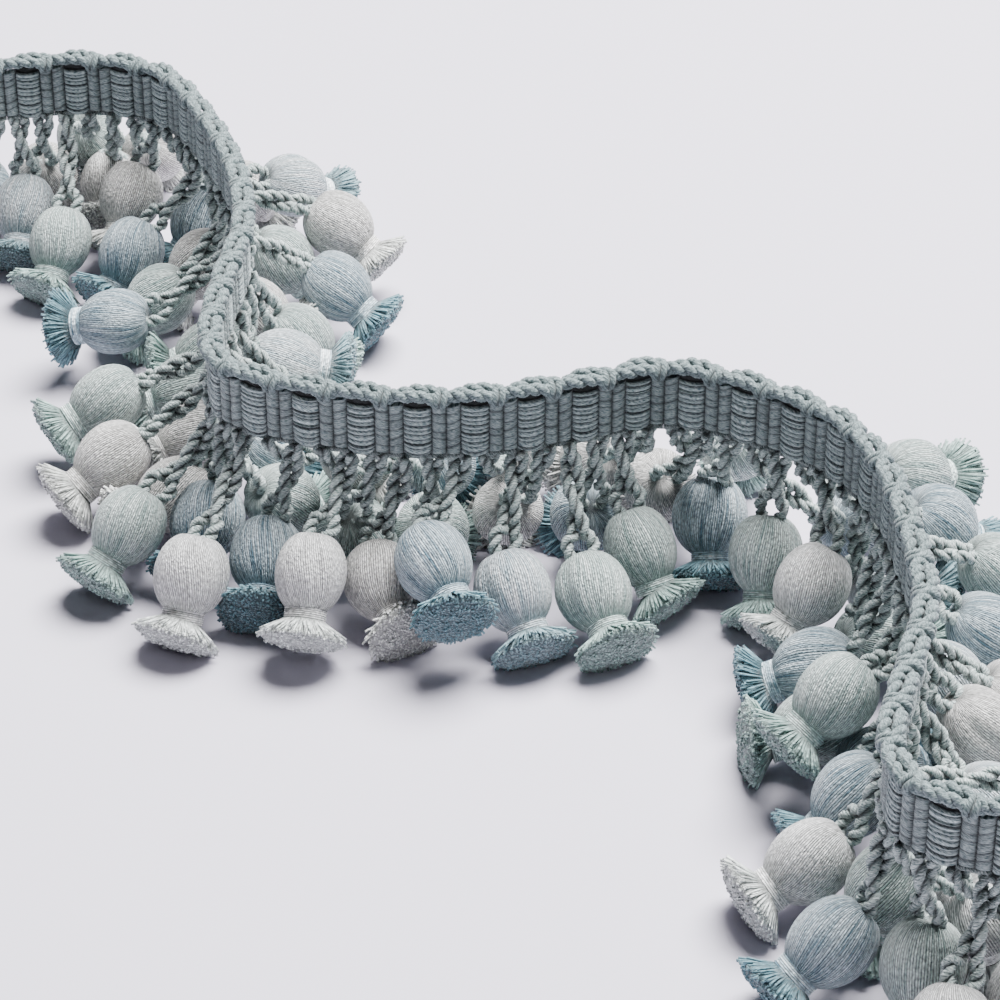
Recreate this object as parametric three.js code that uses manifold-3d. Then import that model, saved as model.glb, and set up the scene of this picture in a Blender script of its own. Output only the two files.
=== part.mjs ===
// A length of tassel fringe trim, snaking over a table on its tassels. A woven heading with a pair of
// cords along its top edge carries two twisted loops in every repeat of its weave, and from each loop
// hangs a ball wound with fine yarn over a tied neck and a short cut skirt. Millimetres, +Z up, with
// the origin on the table under the middle of the trim.

import * as THREE from 'three';
import { mergeVertices } from 'three/addons/utils/BufferGeometryUtils.js';
import Module from 'manifold-3d';

const wasm = await Module();
wasm.setup();

// Weave repeat of the heading: one ladder of floating yarns between two pairs of ribs
const repeats = 42;
const headingFoot = 36;
const headingHeight = 11.5;
const weave = [
  // share of the repeat, half of the thickness
  { share: 0.0, half: 0.75 },
  { share: 0.135, half: 1.15 },
  { share: 0.27, half: 0.7 },
  { share: 0.73, half: 0.7 },
  { share: 0.865, half: 1.15 },
];

// Two cords side by side along the top edge, made as one flat cord that is lifted over every ladder,
// and the gap between sewn pieces
const cordWide = 5.2;
const cordHigh = 2.8;
const cordSides = 6;
const cordStepsPerRepeat = 2;
const cordArch = 0.35;
const seamGap = 0.3;
const weldWithin = 1e-4;

// Strip at the heading's foot that holds a pair of loops, and the loops' shares of the repeat
const stripThick = 3.2;
const stripHigh = 1.8;
const stripGap = 1;
const rootShares = { front: 0.25, back: 0.75 };

// Twisted loop of each tassel
const loopWide = 4.6;
const loopThick = 2.6;
const loopTurns = 0.75;
const loopSteps = 4;
const loopDrop = 7;
const loopSunk = 1.6;
const loopShortest = 10;
const loopLongest = 29;

// Tassel, measured along its axis from the middle of its ball towards the cut end of its skirt
const ballRadius = 8;
const ballTop = -7.6;
const rimRadius = 7.4;
const rimAlong = 13.8;
const tasselSides = 7;
const tasselProfile = [
  // radius, along
  { radius: 0, along: ballTop },
  { radius: 3.8, along: ballTop },
  { radius: ballRadius, along: -1.8 },
  { radius: 6.9, along: 4.4 },
  { radius: 3.4, along: 8.4 },
  { radius: rimRadius, along: rimAlong },
  { radius: 6, along: 14.8 },
  { radius: 0, along: 15 },
];

// Yarn colours and gloss
const yarnRoughness = 0.75;
const yarn = {
  heading: 0x7d8c8c,
  cord: 0xa5b4b2,
  white: 0xd9d7d3,
  cream: 0xcdc8bf,
  sage: 0xa9b9b3,
  pale: 0xaebdc2,
  blue: 0x8299a8,
};

// Plan of the top edge, left end first, and the middle of the whole trim, which goes over the origin
const bends = [
  [-129, 188],
  [-118, 190],
  [-98, 193],
  [-80, 186],
  [-68, 164],
  [-59, 137],
  [-55.6, 111],
  [-58, 89],
  [-59.4, 66],
  [-56, 52],
  [-42, 44],
  [-20, 39],
  [0, 40],
  [20, 46],
  [33, 50],
  [48, 45],
  [65, 32],
  [73, 16],
  [76, -3],
  [77, -30],
  [72, -51],
  [66.5, -72],
  [69, -85],
  [82, -92],
  [102, -94],
];
const planMiddle = { x: -5, y: 54.4 };

// Tassels that lie in a place of their own: the middle of the ball, the way the skirt points in plan
// and how far it dips below level, in degrees
const placed = [
  // side, root, x, y, lift, points, dip, shade
  ['front', 0, -126, 174, 14, -100, 45, 'white'],
  ['front', 1, -116, 185, 14, -95, 45, 'pale'],
  ['front', 2, -104, 172, 13, -107, 42, 'sage'],
  ['front', 4, -90, 185, 18, -110, 50, 'cream'],
  ['front', 5, -74, 178, 18, -140, 50, 'blue'],
  ['front', 6, -85, 167, 14, -130, 47, 'blue'],
  ['front', 7, -71, 156, 17, -160, 50, 'cream'],
  ['front', 8, -78, 143, 13, -165, 45, 'sage'],
  ['front', 9, -87, 125, 12, 172, 12, 'blue'],
  ['front', 13, -82, 96, 13, -156, 23, 'sage'],
  ['front', 14, -78, 71, 14, -150, 30, 'cream'],
  ['front', 16, -72, 47, 14, -135, 42, 'sage'],
  ['front', 17, -61, 28, 16, -108, 52, 'white'],
  ['front', 18, -47, 36, 12, -97, 36, 'blue'],
  ['front', 19, -36, 27, 17, -100, 48, 'white'],
  ['front', 20, -24, 29, 10, -65, 28, 'cream'],
  ['front', 21, -18, 29, 18, -65, 28, 'blue'],
  ['front', 22, 2, 23, 15, -63, 42, 'pale'],
  ['front', 23, 17, 25, 13, -67, 32, 'sage'],
  ['front', 24, 29, 42, 14, -58, 50, 'sage'],
  ['front', 26, 42, 50, 12, -87, 55, 'blue'],
  ['front', 27, 53, 37, 14, -95, 55, 'sage'],
  ['front', 28, 63, 22, 17, -140, 50, 'white'],
  ['front', 31, 63, 0, 13, 178, 25, 'blue'],
  ['front', 32, 62, -14, 10, -170, 15, 'sage'],
  ['front', 33, 66, -27, 20, -150, 38, 'sage'],
  ['front', 35, 66, -42, 15, -160, 50, 'blue'],
  ['front', 36, 58, -59, 13, -160, 30, 'white'],
  ['front', 37, 71, -68, 18, -150, 60, 'sage'],
  ['front', 38, 61, -84, 15, -155, 35, 'blue'],
  ['front', 39, 73, -88, 15, -110, 60, 'sage'],
  ['front', 40, 75, -104, 14, -105, 45, 'white'],
  ['front', 41, 89, -99, 14, -95, 50, 'white'],
  ['back', 1, -109, 203, 14, 90, 50, 'cream'],
  ['back', 5, -50, 186, 22, 30, 30, 'pale'],
  ['back', 6, -41, 166, 20, -20, 40, 'cream'],
  ['back', 7, -50, 162, 17, 10, 50, 'sage'],
  ['back', 8, -41, 143, 14, -26, 38, 'blue'],
  ['back', 10, -46, 124, 14, 0, 50, 'sage'],
  ['back', 11, -51, 107, 16, 2, 12, 'pale'],
  ['back', 16, -57, 55, 11, -110, 40, 'blue'],
  ['back', 19, -28, 46, 14, 80, 50, 'sage'],
  ['back', 20, -11, 48, 14, 85, 45, 'sage'],
  ['back', 22, 4, 52, 14, 95, 45, 'cream'],
  ['back', 23, 14, 52, 14, 100, 45, 'blue'],
  ['back', 24, 20, 67, 14, 110, 40, 'cream'],
  ['back', 25, 34, 62, 14, 90, 45, 'cream'],
  ['back', 27, 85, 53, 22, 35, 25, 'sage'],
  ['back', 28, 88, 40, 20, 20, 40, 'blue'],
  ['back', 29, 97, 27, 16, 0, 40, 'sage'],
  ['back', 30, 94, 4, 15, 0, 40, 'blue'],
  ['back', 32, 96, -16, 15, 0, 40, 'cream'],
  ['back', 33, 84, -31, 18, -10, 55, 'cream'],
  ['back', 34, 88, -43, 15, 0, 45, 'pale'],
];

// Tassels tucked under the heading or behind the others, which give way to those above
const tucked = [
  // side, root, x, y, lift, points, dip, shade
  ['front', 3, -97, 195, 10, -95, 30, 'cream'],
  ['front', 10, -66, 112, 10, -170, 20, 'sage'],
  ['front', 11, -67, 99, 10, -170, 20, 'sage'],
  ['front', 12, -67, 83, 10, -160, 20, 'cream'],
  ['front', 15, -64, 66, 9, -150, 20, 'cream'],
  ['front', 25, 48, 62, 12, 80, 45, 'sage'],
  ['front', 29, 79, 26, 10, 10, 20, 'pale'],
  ['front', 30, 74, 10, 10, 20, 20, 'sage'],
  ['front', 34, 74, -33, 9, 20, 15, 'blue'],
  ['back', 3, -93, 212, 14, 80, 45, 'cream'],
  ['back', 12, -42, 90, 13, 10, 45, 'sage'],
  ['back', 13, -43, 73, 13, 20, 45, 'white'],
  ['back', 14, -50, 64, 21, 40, 50, 'blue'],
  ['back', 15, -44, 57, 12, 45, 40, 'sage'],
  ['back', 17, -38, 48, 21, 70, 50, 'cream'],
  ['back', 18, -18, 58, 13, 80, 45, 'blue'],
  ['back', 21, -6, 62, 13, 90, 45, 'white'],
  ['back', 26, 71, 42, 10, 60, 20, 'blue'],
  ['back', 35, 83, -57, 23, 5, 75, 'cream'],
  ['back', 36, 96, -54, 14, 10, 60, 'sage'],
  ['back', 37, 87, -65, 14, 10, 75, 'blue'],
  ['back', 38, 82, -75, 23, 20, 75, 'white'],
  ['back', 39, 93, -80, 14, 40, 75, 'sage'],
  ['back', 40, 105, -76, 14, 60, 60, 'cream'],
  ['back', 41, 114, -88, 14, 30, 60, 'blue'],
];

// The others hang evenly to both sides, in three lanes
const hungOut = [8, 19, 13];
const hungLift = [12, 13, 22];
const hungDip = [45, 40, 50];
const hungShades = ['sage', 'blue', 'white', 'pale', 'cream'];

// Spheres that stand in for a tassel and its loop while its neighbours push it
const bodySpheres = [
  { along: 0, radius: 8.15 },
  { along: 11.4, radius: 7.8 },
];
const loopSpheres = [
  { share: 0.35, radius: 1.9 },
  { share: 0.6, radius: 2.8 },
  { share: 0.85, radius: 2.9 },
];

// How crowded tassels settle: shares of a push, of the way home and of a placed tassel's yielding,
// the sag in each round, and the limits of the ball's lift and of the rim's depth under the table
const settleRounds = 600;
const settleReach = 60;
const settlePush = 0.35;
const settleStride = 1;
const settleHome = 0.004;
const settleSag = 0.03;
const placedYields = 0.2;
const highestLift = 24;
const deepestRim = -1.8;

const up = new THREE.Vector3(0, 0, 1);
const edge = new THREE.CatmullRomCurve3(
  bends.map(([x, y]) => new THREE.Vector3(x - planMiddle.x, y - planMiddle.y, 0)),
  false,
  'catmullrom',
  0.5,
);
edge.arcLengthDivisions = 2000;
const trimLength = edge.getLength();
const pitch = trimLength / repeats;

// Place, direction and front side of the trim at a length from its left end
function station(length) {
  const u = Math.min(Math.max(length / trimLength, 0), 1);
  const at = edge.getPointAt(u);
  const along = edge.getTangentAt(u);
  const front = new THREE.Vector3(along.y, -along.x, 0);
  return { at, along, front };
}

function headingGeometry() {
  const steps = repeats * weave.length;
  const band = new THREE.BoxGeometry(steps, 1, headingHeight, steps, 1, 1);
  const points = band.attributes.position;
  for (let i = 0; i < points.count; i += 1) {
    const step = Math.round(points.getX(i) + steps / 2);
    const { share, half } = weave[step % weave.length];
    const { at, front } = station((Math.floor(step / weave.length) + share) * pitch);
    at.addScaledVector(front, -2 * half * points.getY(i));
    points.setXYZ(i, at.x, at.y, headingFoot + headingHeight / 2 + points.getZ(i));
  }
  return band;
}

function cordGeometry() {
  const steps = repeats * cordStepsPerRepeat;
  const corner = Math.PI / cordSides;
  const rope = new THREE.CylinderGeometry(1, 1, trimLength, cordSides, steps, false, corner);
  rope.rotateZ(-Math.PI / 2);
  rope.scale(1, cordWide / 2, cordHigh / 2 / Math.cos(corner));
  const points = rope.attributes.position;
  const middle = headingFoot + headingHeight + seamGap + cordHigh / 2 + cordArch;
  for (let i = 0; i < points.count; i += 1) {
    const length = points.getX(i) + trimLength / 2;
    const { at, front } = station(length);
    const arch = -cordArch * Math.cos((2 * Math.PI * length) / pitch);
    at.addScaledVector(front, -points.getY(i));
    points.setXYZ(i, at.x, at.y, middle + arch + points.getZ(i));
  }
  return rope;
}

// Where a tassel hangs before its neighbours push it: its loop's root, its ball and its axis
function hang(side, index) {
  const { at, along, front } = station((index + rootShares[side]) * pitch);
  const outward = front.multiplyScalar(side === 'front' ? 1 : -1);
  const root = new THREE.Vector3(at.x, at.y, headingFoot - seamGap - stripHigh / 2);
  const own = (r) => r[0] === side && r[1] === index;
  const firm = placed.find(own);
  const row = firm ?? tucked.find(own);
  const lane = index % hungOut.length;
  let ball = at.clone().addScaledVector(outward, hungOut[lane]).setZ(hungLift[lane]);
  let points = THREE.MathUtils.radToDeg(Math.atan2(outward.y, outward.x));
  let dip = hungDip[lane];
  let shade = hungShades[(index * 2 + (side === 'front' ? 0 : 1)) % hungShades.length];
  if (row) {
    ball = new THREE.Vector3(row[2] - planMiddle.x, row[3] - planMiddle.y, row[4]);
    [points, dip, shade] = row.slice(5);
  }
  const level = Math.cos(THREE.MathUtils.degToRad(dip));
  const axis = new THREE.Vector3(
    level * Math.cos(THREE.MathUtils.degToRad(points)),
    level * Math.sin(THREE.MathUtils.degToRad(points)),
    -Math.sin(THREE.MathUtils.degToRad(dip)),
  );
  const yields = firm ? placedYields : 1;
  return { root, along, ball, home: ball.clone(), axis, shade, yields };
}

function poleOf(tassel) {
  return tassel.ball.clone().addScaledVector(tassel.axis, ballTop);
}

// Places of the stand-in spheres, each with its share of the tassel's own movement
function spheresOf(tassel) {
  const pole = poleOf(tassel);
  const body = bodySpheres.map(({ along, radius }) => ({
    at: tassel.ball.clone().addScaledVector(tassel.axis, along),
    radius,
    share: 1,
  }));
  const loop = loopSpheres.map(({ share, radius }) => ({
    at: loopPoint(tassel, pole, share),
    radius,
    share,
  }));
  return [...body, ...loop];
}

// The loop leaves the heading's foot straight down and bends towards the ball's pole
function loopPoint(tassel, pole, share) {
  const bend = tassel.root.clone().addScaledVector(up, -loopDrop);
  return new THREE.QuadraticBezierCurve3(tassel.root, bend, pole).getPoint(share);
}

// Crowded tassels push each other apart until they only touch
function settle(tassels) {
  for (let round = 0; round < settleRounds; round += 1) {
    const spheres = tassels.map(spheresOf);
    const moves = tassels.map(() => new THREE.Vector3());
    for (let i = 0; i < tassels.length; i += 1) {
      for (let j = i + 1; j < tassels.length; j += 1) {
        if (tassels[i].ball.distanceTo(tassels[j].ball) > settleReach) continue;
        for (const a of spheres[i]) {
          for (const b of spheres[j]) {
            const away = a.at.clone().sub(b.at);
            const short = a.radius + b.radius - away.length();
            if (short <= 0) continue;
            away.setLength(short * settlePush);
            moves[i].addScaledVector(away, a.share);
            moves[j].addScaledVector(away, -b.share);
          }
        }
      }
    }
    tassels.forEach((tassel, i) => {
      tassel.ball.addScaledVector(moves[i].clampLength(0, settleStride), tassel.yields);
      tassel.ball.lerp(tassel.home, settleHome * (1 - round / settleRounds));
      tassel.ball.z -= settleSag * tassel.yields;
      const pull = poleOf(tassel).sub(tassel.root);
      const length = pull.length();
      const allowed = Math.min(Math.max(length, loopShortest), loopLongest);
      tassel.ball.addScaledVector(pull, (allowed - length) / length);
      const level = Math.hypot(tassel.axis.x, tassel.axis.y);
      const rimDepth = rimAlong * tassel.axis.z - rimRadius * level;
      const lowest = Math.max(ballRadius + seamGap, deepestRim - rimDepth);
      tassel.ball.z = Math.min(Math.max(tassel.ball.z, lowest), highestLift);
    });
  }
}

function tasselGeometry({ ball, axis }) {
  const profile = tasselProfile
    .map(({ radius, along }) => new THREE.Vector2(radius, -along))
    .reverse();
  const body = new THREE.LatheGeometry(profile, tasselSides, Math.PI / tasselSides);
  const across = up.clone().cross(axis).normalize();
  const back = axis.clone().negate();
  const turn = new THREE.Matrix4().makeBasis(across, back, across.clone().cross(back));
  body.applyMatrix4(turn.setPosition(ball));
  // The skirt's yarns splay flat where they meet the table
  const points = body.attributes.position;
  for (let i = 0; i < points.count; i += 1) points.setZ(i, Math.max(points.getZ(i), 0));
  return body;
}

function loopGeometry(tassel) {
  const loop = new THREE.BoxGeometry(loopWide, loopThick, 1, 1, 1, loopSteps);
  const bend = tassel.root.clone().addScaledVector(up, -loopDrop);
  const end = poleOf(tassel).addScaledVector(tassel.axis, loopSunk);
  const run = new THREE.QuadraticBezierCurve3(tassel.root, bend, end);
  const points = loop.attributes.position;
  for (let i = 0; i < points.count; i += 1) {
    const share = points.getZ(i) + 0.5;
    const way = run.getTangent(share);
    const wide = tassel.along.clone().addScaledVector(way, -tassel.along.dot(way)).normalize();
    const thick = way.clone().cross(wide);
    const angle = 2 * Math.PI * loopTurns * share;
    const x = points.getX(i);
    const y = points.getY(i);
    const at = run.getPoint(share);
    at.addScaledVector(wide, x * Math.cos(angle) - y * Math.sin(angle));
    at.addScaledVector(thick, x * Math.sin(angle) + y * Math.cos(angle));
    points.setXYZ(i, at.x, at.y, at.z);
  }
  return loop;
}

function stripGeometry(index) {
  const { at, along } = station((index + 0.5) * pitch);
  const strip = new THREE.BoxGeometry(pitch - stripGap, stripThick, stripHigh);
  strip.rotateZ(Math.atan2(along.y, along.x));
  return strip.translate(at.x, at.y, headingFoot - seamGap - stripHigh / 2);
}

// Closed solid of a geometry, with its shared points merged and its collapsed triangles dropped
function solidOf(geometry) {
  geometry.deleteAttribute('normal');
  geometry.deleteAttribute('uv');
  const welded = mergeVertices(geometry, weldWithin);
  const corners = welded.index.array;
  const triangles = [];
  for (let i = 0; i < corners.length; i += 3) {
    const [a, b, c] = corners.slice(i, i + 3);
    if (a !== b && b !== c && c !== a) triangles.push(a, b, c);
  }
  const mesh = new wasm.Mesh({
    numProp: 3,
    vertProperties: welded.attributes.position.array,
    triVerts: Uint32Array.from(triangles),
  });
  return new wasm.Manifold(mesh);
}

function joined(geometries) {
  const whole = geometries.map(solidOf).reduce((sum, solid) => sum.add(solid));
  const { vertProperties, triVerts } = whole.getMesh();
  const geometry = new THREE.BufferGeometry();
  geometry.setAttribute('position', new THREE.BufferAttribute(vertProperties, 3));
  geometry.setIndex(new THREE.BufferAttribute(triVerts, 1));
  geometry.computeVertexNormals();
  return geometry;
}

function node(name, geometry, color) {
  const material = new THREE.MeshStandardMaterial({ color, roughness: yarnRoughness, metalness: 0 });
  const mesh = new THREE.Mesh(geometry, material);
  mesh.name = name;
  return mesh;
}

const trim = new THREE.Group();
trim.name = 'tassel_fringe_trim';
trim.add(node('heading', headingGeometry(), yarn.heading));
trim.add(node('edge_cord', cordGeometry(), yarn.cord));

const fringe = new THREE.Group();
fringe.name = 'fringe';
trim.add(fringe);
const pairs = Array.from({ length: repeats }, (_, index) => [hang('front', index), hang('back', index)]);
settle(pairs.flat());
pairs.forEach((pair, index) => {
  const pieces = [stripGeometry(index)];
  for (const tassel of pair) pieces.push(loopGeometry(tassel), tasselGeometry(tassel));
  const name = `tassel_pair_${String(index + 1).padStart(2, '0')}`;
  fringe.add(node(name, joined(pieces), yarn[pair[0].shade]));
});

export default trim;
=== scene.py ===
# Tassel fringe trim standing in a wave: a woven heading, its plied edge cord, and wound ball tassels
# on twisted loops. Sizes in the tables are millimetres in the CAD frame, and meshes are metres.
import math

import bpy
import numpy as np
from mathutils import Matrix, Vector


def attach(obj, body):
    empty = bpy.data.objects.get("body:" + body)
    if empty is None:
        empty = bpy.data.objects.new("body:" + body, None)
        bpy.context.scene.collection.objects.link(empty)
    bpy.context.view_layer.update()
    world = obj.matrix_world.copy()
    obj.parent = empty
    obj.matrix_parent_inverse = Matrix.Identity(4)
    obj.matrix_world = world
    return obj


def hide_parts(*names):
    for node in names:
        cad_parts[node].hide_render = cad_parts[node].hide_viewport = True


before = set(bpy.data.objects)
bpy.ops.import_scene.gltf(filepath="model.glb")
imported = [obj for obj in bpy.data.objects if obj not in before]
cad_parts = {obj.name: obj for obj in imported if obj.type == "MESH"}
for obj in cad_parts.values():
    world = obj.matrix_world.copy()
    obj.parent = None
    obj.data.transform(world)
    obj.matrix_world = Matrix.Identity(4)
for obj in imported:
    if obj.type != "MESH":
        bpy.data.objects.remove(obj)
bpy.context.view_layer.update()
bpy.ops.object.select_all(action="DESELECT")
dice = np.random.default_rng(7)
up = np.array([0.0, 0.0, 1.0])
fullTurn = 2 * math.pi
metres = 0.001  # in a millimetre of the tables
slack = 0.01  # for rounding, where rows of a mesh are told apart

# Run of the heading over the table, as in the part's source
run = {
    "repeats": 42,  # weave repeats from end to end
    "planMiddle": (-5.0, 54.4),
    "bends": [
        (-129, 188), (-118, 190), (-98, 193), (-80, 186), (-68, 164), (-59, 137), (-55.6, 111), (-58, 89),
        (-59.4, 66), (-56, 52), (-42, 44), (-20, 39), (0, 40), (20, 46), (33, 50), (48, 45), (65, 32),
        (73, 16), (76, -3), (77, -30), (72, -51), (66.5, -72), (69, -85), (82, -92), (102, -94),
    ],
    "steps": 2001,  # points at which the run is measured
    "nudge": 1e-4,  # share of the run to each side, over which its direction is read
}
plan = np.array(run["bends"]) - run["planMiddle"]
knots = np.vstack([2 * plan[0] - plan[1], plan, 2 * plan[-1] - plan[-2]])


def bendPoint(share):
    spot = np.clip(share, 0, 1) * (len(plan) - 1)
    first = np.minimum(spot.astype(int), len(plan) - 2)
    w = (spot - first)[:, None]
    a, b, c, d = (knots[first + k] for k in range(4))
    lead = (c - a) / 2
    trail = (d - b) / 2
    return b + w * (lead + w * (3 * (c - b) - 2 * lead - trail + w * (2 * (b - c) + lead + trail)))


planShares = np.linspace(0, 1, run["steps"])
planSteps = np.linalg.norm(np.diff(bendPoint(planShares), axis=0), axis=1)
planWalked = np.concatenate([[0], np.cumsum(planSteps)])
trimLength = planWalked[-1]
pitch = trimLength / run["repeats"]


# Place, direction and front side of the trim at lengths from its left end
def station(lengths):
    share = np.interp(lengths, planWalked, planShares)
    way = bendPoint(share + run["nudge"]) - bendPoint(share - run["nudge"])
    way /= np.linalg.norm(way, axis=1, keepdims=True)
    level = np.zeros(len(share))
    at = np.column_stack([bendPoint(share), level])
    along = np.column_stack([way, level])
    front = np.column_stack([way[:, 1], -way[:, 0], level])
    return at, along, front


def unit(vectors):
    return vectors / np.linalg.norm(vectors, axis=-1, keepdims=True)


# A direction made square to the way of a line
def squareTo(way, aside):
    return unit(aside - np.sum(aside * way, axis=-1, keepdims=True) * way)


# Directions at angles around a line, from its first side towards its second
def spokes(angle, first, second):
    return np.cos(angle)[..., None] * first + np.sin(angle)[..., None] * second


def smooth(low, high, value):
    share = np.clip((value - low) / (high - low), 0, 1)
    return share * share * (3 - 2 * share)


# Lightness that rises to 1 from a least value, between two places
def clearing(least, start, stop, value):
    return least + (1 - least) * smooth(start, stop, value)


# Faces of closed tubes. points: tube, row, side, xyz. uv has one side more, for the seam
def tubeFaces(points, uv, paintedShadeAndTone, skirt=0.0, slot=0):
    count, rows, sides = points.shape[:3]
    ids = np.arange(count * rows * sides).reshape(count, rows, sides)
    beside = np.roll(ids, -1, axis=2)
    quads = np.stack([ids[:, :-1], beside[:, :-1], beside[:, 1:], ids[:, 1:]], axis=-1)
    quadUv = np.stack([uv[:, :-1, :-1], uv[:, :-1, 1:], uv[:, 1:, 1:], uv[:, 1:, :-1]], axis=-2)
    ends = []
    endUv = []
    for row, order in ((0, (0, 2, 1)), (rows - 1, (0, 1, 2))):
        for side in range(1, sides - 1):
            trio = [(0, side, side + 1)[k] for k in order]
            ends.append(ids[:, row][:, trio])
            endUv.append(uv[:, row][:, trio])
    return {
        "points": points.reshape(-1, 3),
        "quads": quads.reshape(-1, 4),
        "quadUv": quadUv.reshape(-1, 2),
        "trios": np.concatenate(ends),
        "trioUv": np.concatenate(endUv).reshape(-1, 2),
        "paintedShadeAndTone": np.broadcast_to(paintedShadeAndTone, points.shape[:3]).reshape(-1),
        "skirt": np.zeros(count * rows * sides) + skirt,
        "slot": slot,
    }


# Rings of a given radius around lines. lines: tube, row, xyz; aside: the ring's first direction
def ringsAround(lines, aside, radius, sides):
    way = unit(np.gradient(lines, axis=1))
    first = squareTo(way, aside)
    turn = np.arange(sides) * fullTurn / sides
    ring = spokes(turn, first[:, :, None], np.cross(way, first)[:, :, None])
    return lines[:, :, None] + ring * np.broadcast_to(radius, lines.shape[:2])[:, :, None, None]


# Length walked along each line
def walked(lines):
    steps = np.linalg.norm(np.diff(lines, axis=1), axis=-1)
    return np.concatenate([np.zeros((len(lines), 1)), np.cumsum(steps, axis=1)], axis=1)


# Map of the yarn on tubes: places around and along it, with one side more for the seam
def yarnUv(rows, sides, around, along):
    uv = np.zeros(rows + (sides + 1, 2))
    uv[..., 0] = around
    uv[..., 1] = along
    return uv


# Plies turn unevenly along their cord, in radians for each millimetre, and lie apart in the map
plyLay = {"wander": 0.83, "slower": 0.31, "swing": 2.0, "mapApart": 3.0}


# Plies laid around one line. Each ply's map starts on its outer side
def layPlies(line, aside, settings, first=0.0):
    length = walked(line[None])[0]
    way = unit(np.gradient(line, axis=0))
    east = squareTo(way, aside)
    starts = first + np.arange(settings["plies"]) * fullTurn / settings["plies"]
    angle = starts[:, None] + length[None] * fullTurn / settings["layLength"]
    slower = plyLay["swing"] * np.sin(length * plyLay["slower"] + first)
    angle = angle + settings["uneven"] * np.sin(length * plyLay["wander"] + slower)
    outward = spokes(angle, east, np.cross(way, east))
    middles = line[None] + settings["layRadius"] * outward
    rings = ringsAround(middles, outward, settings["plyRadius"], settings["sides"])
    apart = plyLay["mapApart"] * np.arange(settings["plies"])[:, None, None]
    around = np.linspace(0, 1, settings["sides"] + 1) + apart
    return rings, yarnUv(rings.shape[:2], settings["sides"], around, walked(middles)[..., None])


# One mesh of all the parts, riding on the trim's only body
def makePiece(name, parts, materials):
    points = []
    corners = []
    sizes = []
    uv = []
    slots = []
    before = 0
    for part in parts:
        points.append(part["points"])
        for faces, faceUv in (("quads", "quadUv"), ("trios", "trioUv")):
            corners.append((part[faces] + before).reshape(-1))
            sizes.append(np.full(len(part[faces]), part[faces].shape[1]))
            slots.append(np.full(len(part[faces]), part["slot"]))
            uv.append(part[faceUv].reshape(-1))
        before += len(part["points"])
    corners = np.concatenate(corners).astype(np.int32)
    sizes = np.concatenate(sizes)
    mesh = bpy.data.meshes.new(name)
    mesh.vertices.add(before)
    mesh.vertices.foreach_set("co", (np.concatenate(points) * metres).astype(np.float32).reshape(-1))
    mesh.loops.add(len(corners))
    mesh.loops.foreach_set("vertex_index", corners)
    mesh.polygons.add(len(sizes))
    starts = np.concatenate([[0], np.cumsum(sizes)[:-1]])
    mesh.polygons.foreach_set("loop_start", starts.astype(np.int32))
    mesh.polygons.foreach_set("material_index", np.concatenate(slots).astype(np.int32))
    mesh.uv_layers.new(name="yarnMap").uv.foreach_set("vector", np.concatenate(uv).astype(np.float32))
    # This layer holds painted shade in grooves, creases and hollows, and a random lightness of some yarns
    for layer in ("paintedShadeAndTone", "skirt"):
        values = np.concatenate([part[layer] for part in parts]).astype(np.float32)
        mesh.attributes.new(layer, "FLOAT", "POINT").data.foreach_set("value", values)
    mesh.update()
    mesh.validate()
    for material in materials:
        mesh.materials.append(material)
    piece = bpy.data.objects.new(name, mesh)
    bpy.context.collection.objects.link(piece)
    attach(piece, "root")
    return piece


def linear(hexColour):
    shares = [int(hexColour[i:i + 2], 16) / 255 for i in (1, 3, 5)]
    return [s / 12.92 if s <= 0.04045 else ((s + 0.055) / 1.055) ** 2.4 for s in shares] + [1.0]


# Adds a node with its settings. An input is given a value, a socket, or a node for its first output
def addNode(tree, kind, inputs=None, **settings):
    node = tree.nodes.new(kind)
    for name, value in settings.items():
        setattr(node, name, value)
    for socket, value in (inputs or {}).items():
        if isinstance(value, bpy.types.Node):
            value = value.outputs[0]
        if isinstance(value, bpy.types.NodeSocket):
            tree.links.new(value, node.inputs[socket])
        else:
            node.inputs[socket].default_value = value
    return node


# Camera at the photo's place: 33 degrees above the table, a long lens
view = {
    "eye": (0.005, -0.5752, 0.3882),
    "target": (0.005, -0.0544, 0.050),
    "lens": 118.8,
    "sensor": 36,
    "clip": (0.01, 20),
}
camera = bpy.data.objects.new("camera", bpy.data.cameras.new("camera"))
camera.data.lens = view["lens"]
camera.data.sensor_width = view["sensor"]
camera.data.clip_start, camera.data.clip_end = view["clip"]
camera.location = view["eye"]
sight = Vector(view["target"]) - Vector(view["eye"])
camera.rotation_euler = sight.to_track_quat("-Z", "Y").to_euler()
bpy.context.collection.objects.link(camera)
bpy.context.scene.camera = camera
print("camera placed")

waveUnit = fullTurn / 20  # scale at which a wave texture has one band for each unit of its map


# A yarn's material with its shader's values, and the yarn's map
def startYarn(name, shaderValues):
    material = bpy.data.materials.new(name)
    material.use_nodes = True
    tree = material.node_tree
    for socket, value in shaderValues.items():
        tree.nodes["Principled BSDF"].inputs[socket].default_value = value
    return material, tree, addNode(tree, "ShaderNodeUVMap", uv_map="yarnMap")


# Colour of a yarn, darkened by painted shade between its threads and by the mesh's layer of painted shade
# and random lightness, and its relief
def finishYarn(tree, yarn, dim, height, relief):
    paintedShadeAndTone = addNode(tree, "ShaderNodeAttribute", attribute_name="paintedShadeAndTone").outputs["Fac"]
    shade = addNode(tree, "ShaderNodeMath", {0: dim, 1: paintedShadeAndTone}, operation="MULTIPLY")
    colour = addNode(tree, "ShaderNodeVectorMath", {0: yarn.outputs[2], "Scale": shade}, operation="SCALE")
    bump = addNode(tree, "ShaderNodeBump", {"Height": height, **relief})
    shader = tree.nodes["Principled BSDF"]
    tree.links.new(colour.outputs[0], shader.inputs["Base Color"])
    tree.links.new(bump.outputs[0], shader.inputs["Normal"])
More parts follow.
